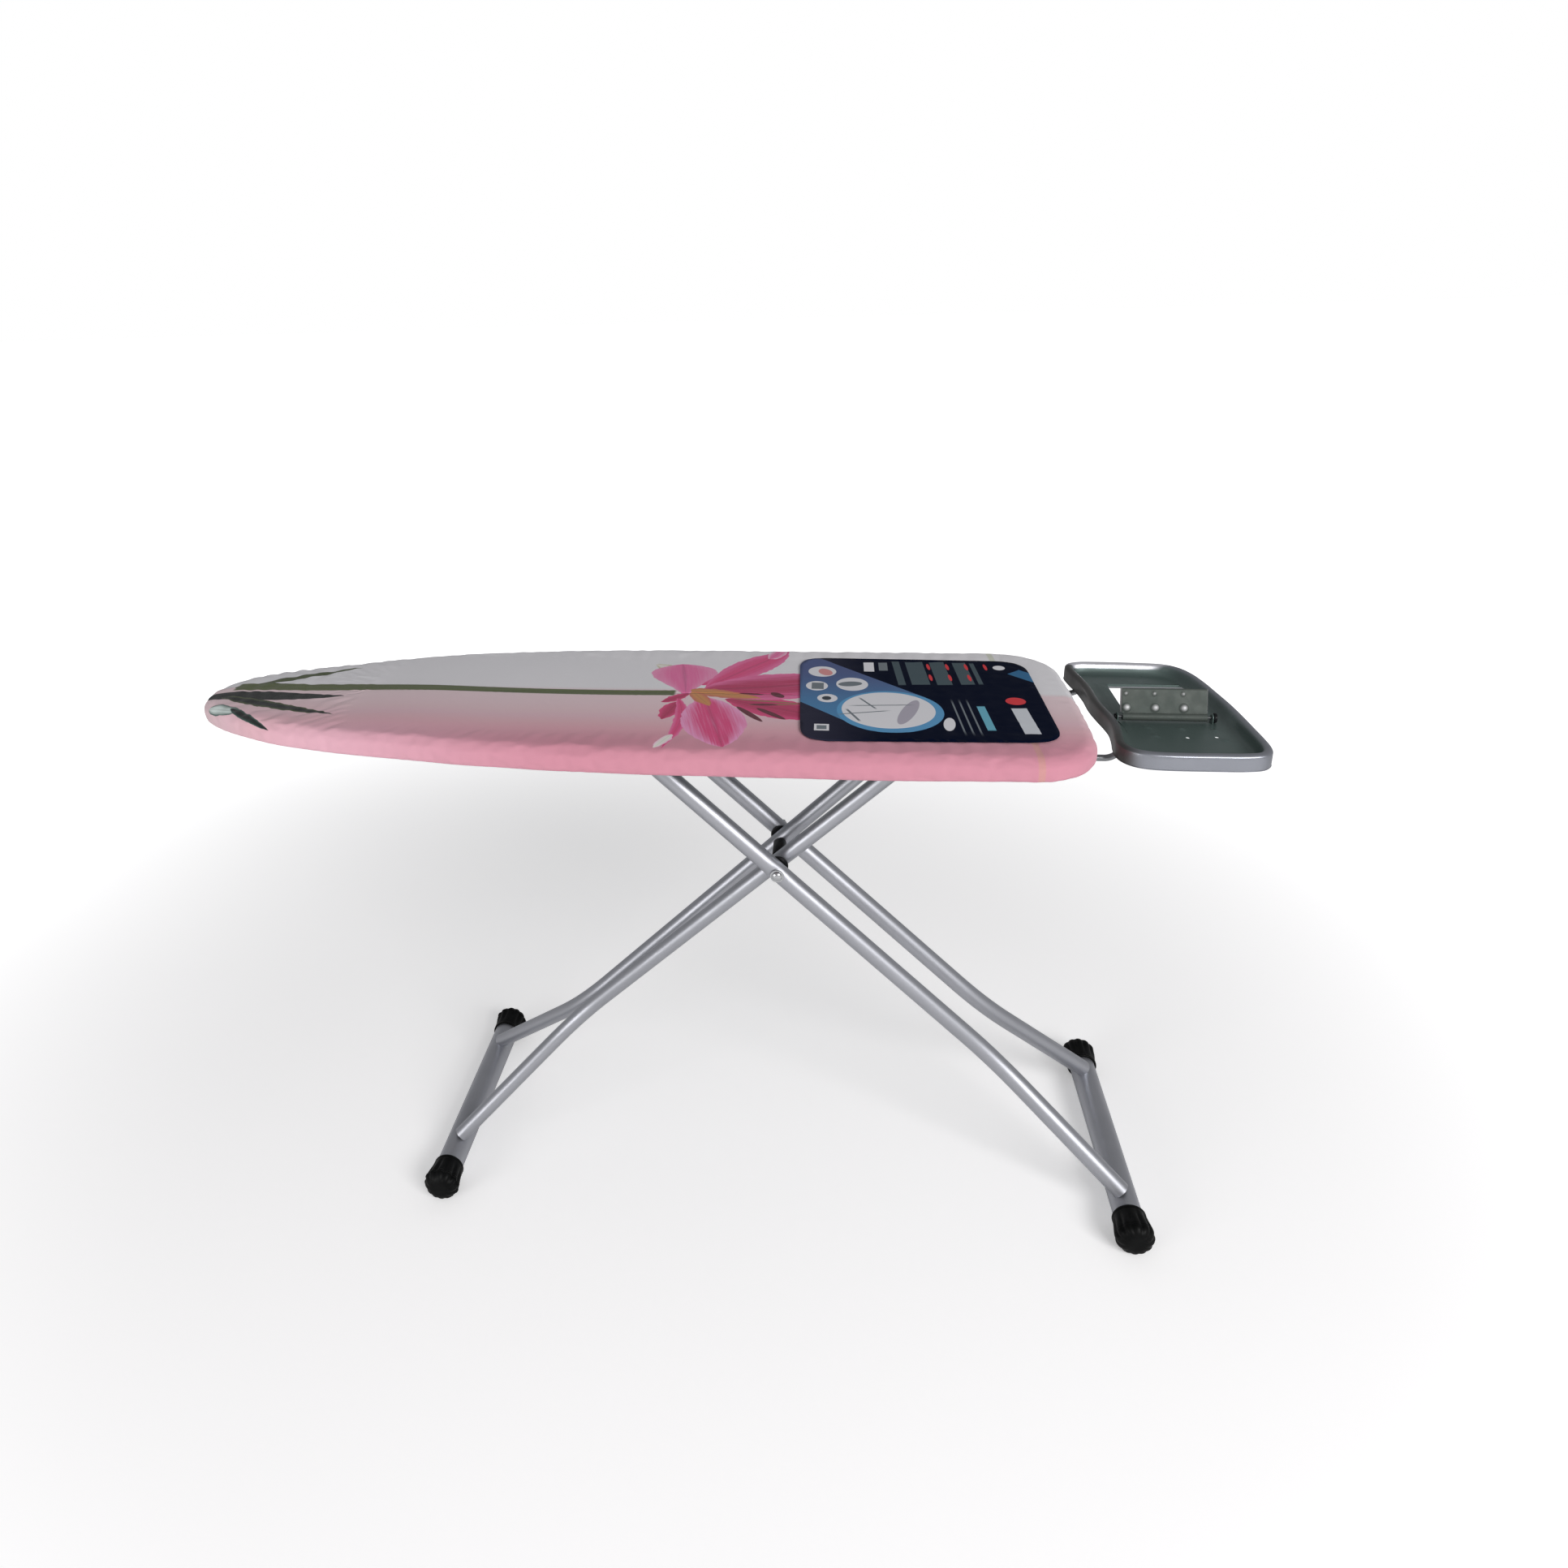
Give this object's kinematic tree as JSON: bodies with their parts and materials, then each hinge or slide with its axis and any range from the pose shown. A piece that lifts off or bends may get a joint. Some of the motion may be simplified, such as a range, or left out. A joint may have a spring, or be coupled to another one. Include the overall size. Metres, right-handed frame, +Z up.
{
  "type": "ironing board",
  "caption": "Folding ironing board with a padded, tapering top, a pressed steel iron rest tray and crossed tubular leg frames with rubber-capped feet.",
  "frame": {"origin": "centre of the bounding box's bottom face: on the floor, midway between the nose tip and the end of the tray", "axes": "+X along the board towards the iron rest tray, +Y across it towards the far side, +Z up"},
  "size_m": [1.3746, 0.394, 0.7352],
  "materials": {
    "cover": "printed cotton, padded, pink fading to pale grey",
    "pad": "felt",
    "card": "glossy printed card",
    "tube": "satin silver",
    "steel": "zinc plated",
    "deck": "grey paint",
    "tray": "dark grey green, rim left bright",
    "rubber": "matte black",
    "plastic": "black",
    "grip": "dark grey",
    "bolt": "bright"
  },
  "bodies": {
    "board": {"cover": "cover", "pad": "pad", "deck": "deck", "edge_frame": "steel", "cross_rib_1": "steel", "cross_rib_2": "steel", "cross_rib_3": "steel", "cross_rib_4": "steel", "cross_rib_5": "steel", "label_card": "card", "tray_pan": "tray", "heel_stop_pin": "bolt", "heel_stop_bush_small": "plastic", "heel_stop_bush_large": "plastic", "tray_rod_near": "steel", "tray_rod_far": "steel", "rod_clamp_near": "steel", "rod_clamp_far": "steel", "height_rail_near": "steel", "height_rail_far": "steel", "hinge_bracket_near": "steel", "hinge_bracket_far": "steel", "lever_pivot": "bolt"},
    "inner_frame": {"leg_inner_near": "tube", "leg_inner_far": "tube", "foot_tube_inner": "tube", "foot_cap_inner_near": "rubber", "foot_cap_inner_far": "rubber", "top_bar_inner": "steel", "crossing_axle": "bolt", "axle_nut": "bolt", "axle_bush_near": "plastic", "axle_bush_far": "plastic", "axle_spacer": "plastic"},
    "outer_frame": {"leg_outer_near": "tube", "leg_outer_far": "tube", "foot_tube_outer": "tube", "foot_cap_outer_near": "rubber", "foot_cap_outer_far": "rubber", "top_bar_outer": "steel", "slide_roller_near": "plastic", "slide_roller_far": "plastic"},
    "heel_stop": {"heel_stop_plate": "tray"},
    "lever": {"lever_arm": "steel", "lever_grip": "grip"}
  },
  "joints": [
    {"name": "inner_frame_fold", "type": "hinge", "parent": "board", "child": "inner_frame", "pos_m": [0.31175, 0, 0.668], "axis": [0, 1, 0], "range_deg": [-12, 40]},
    {"name": "outer_frame_cross", "type": "hinge", "parent": "inner_frame", "child": "outer_frame", "pos_m": [0.118, 0, 0.484], "axis": [0, 1, 0], "range_deg": [-80, 24]},
    {"name": "heel_stop_hinge", "type": "hinge", "parent": "board", "child": "heel_stop", "pos_m": [0.596, -0.023, 0.702], "axis": [1, 0, 0], "range_deg": [0, 98]},
    {"name": "height_lever_hinge", "type": "hinge", "parent": "board", "child": "lever", "pos_m": [0.027, -0.092, 0.672], "axis": [0, 1, 0], "range_deg": [0, 8], "stiffness_Nm_per_rad": 1.2, "springref_deg": -20.05}
  ],
  "couplings": [
    {"joint": "outer_frame_cross", "follows": "inner_frame_fold", "ratio": -2}
  ]
}
